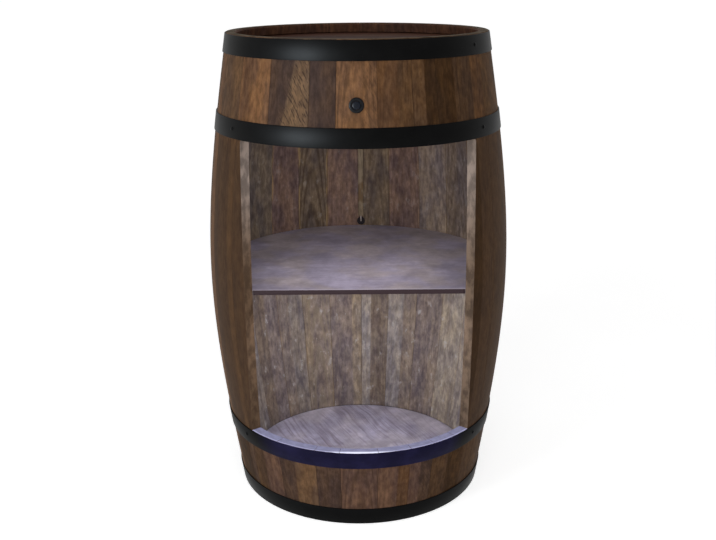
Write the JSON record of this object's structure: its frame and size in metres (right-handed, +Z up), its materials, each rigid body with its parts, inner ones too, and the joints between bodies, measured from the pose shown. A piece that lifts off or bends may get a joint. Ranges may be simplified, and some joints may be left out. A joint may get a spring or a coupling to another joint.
{
  "type": "barrel bar cabinet",
  "caption": "Upright wooden barrel with black hoops, a wide opening in its front with a shelf and a low floor inside, and a push button for its light.",
  "frame": {"origin": "on the floor, at the bottom centre of the bounding box: halfway between the sides and halfway between the frontmost and rearmost points. The barrel's upright axis stands 8.7 mm in front of it, because the widest part of the front is cut away", "axes": "+Z up along the barrel's axis; the front, with the opening and the push button, looks along -Y; +X is to the right as seen from the front"},
  "size_m": [0.52, 0.5026, 0.8],
  "materials": {
    "barrel_wood": "stained softwood under satin varnish, grain along the staves",
    "head_wood": "stained boards under satin varnish",
    "board_wood": "stained plywood face veneer, satin",
    "cleat_wood": "stained batten, sawn",
    "hoop_steel": "black satin paint on steel strip",
    "switch_plastic": "black moulded plastic",
    "button_plastic": "black moulded plastic, glossy",
    "nut_metal": "nickel-plated",
    "light_strip": "white diffuser of a light strip",
    "grommet_rubber": "black moulded rubber",
    "duct_plastic": "brown moulded trunking",
    "lead_plastic": "black lead sheath"
  },
  "bodies": {
    "cabinet": {"stave_01": "barrel_wood", "stave_02": "barrel_wood", "stave_03": "barrel_wood", "stave_04": "barrel_wood", "stave_05": "barrel_wood", "stave_06": "barrel_wood", "stave_07": "barrel_wood", "stave_08": "barrel_wood", "stave_09": "barrel_wood", "stave_10": "barrel_wood", "stave_11": "barrel_wood", "stave_12": "barrel_wood", "stave_13": "barrel_wood", "stave_14": "barrel_wood", "stave_15": "barrel_wood", "stave_16": "barrel_wood", "left_opening_stave": "barrel_wood", "right_opening_stave": "barrel_wood", "upper_front_stave_1": "barrel_wood", "upper_front_stave_2": "barrel_wood", "upper_front_stave_3": "barrel_wood", "upper_front_stave_4": "barrel_wood", "upper_front_stave_5": "barrel_wood", "upper_front_stave_6": "barrel_wood", "lower_front_stave_1": "barrel_wood", "lower_front_stave_2": "barrel_wood", "lower_front_stave_3": "barrel_wood", "lower_front_stave_4": "barrel_wood", "lower_front_stave_5": "barrel_wood", "lower_front_stave_6": "barrel_wood", "top_hoop": "hoop_steel", "upper_hoop": "hoop_steel", "lower_hoop": "hoop_steel", "bottom_hoop": "hoop_steel", "top_hoop_rivet_1": "hoop_steel", "top_hoop_rivet_2": "hoop_steel", "upper_hoop_rivet_1": "hoop_steel", "upper_hoop_rivet_2": "hoop_steel", "lower_hoop_rivet_1": "hoop_steel", "lower_hoop_rivet_2": "hoop_steel", "bottom_hoop_rivet_1": "hoop_steel", "bottom_hoop_rivet_2": "hoop_steel", "top_hoop_nail_right": "hoop_steel", "upper_hoop_nail_left": "hoop_steel", "upper_hoop_nail_right": "hoop_steel", "lower_hoop_nail_left": "hoop_steel", "lower_hoop_nail_right": "hoop_steel", "top_head": "head_wood", "bottom_head": "board_wood", "shelf": "board_wood", "shelf_cleat_left": "cleat_wood", "shelf_cleat_right": "cleat_wood", "switch_body": "switch_plastic", "switch_nut": "nut_metal", "light_strip": "light_strip", "lead_grommet": "grommet_rubber", "lead_duct": "duct_plastic", "supply_lead": "lead_plastic", "light_lead": "lead_plastic"},
    "button": {"switch_button": "button_plastic"}
  },
  "joints": [
    {"name": "button_press", "type": "slide", "parent": "cabinet", "child": "button", "axis": [0.0086, 0.9883, -0.1524], "range_m": [0, 0.0025], "stiffness_N_per_m": 600, "springref_m": -0.001}
  ]
}
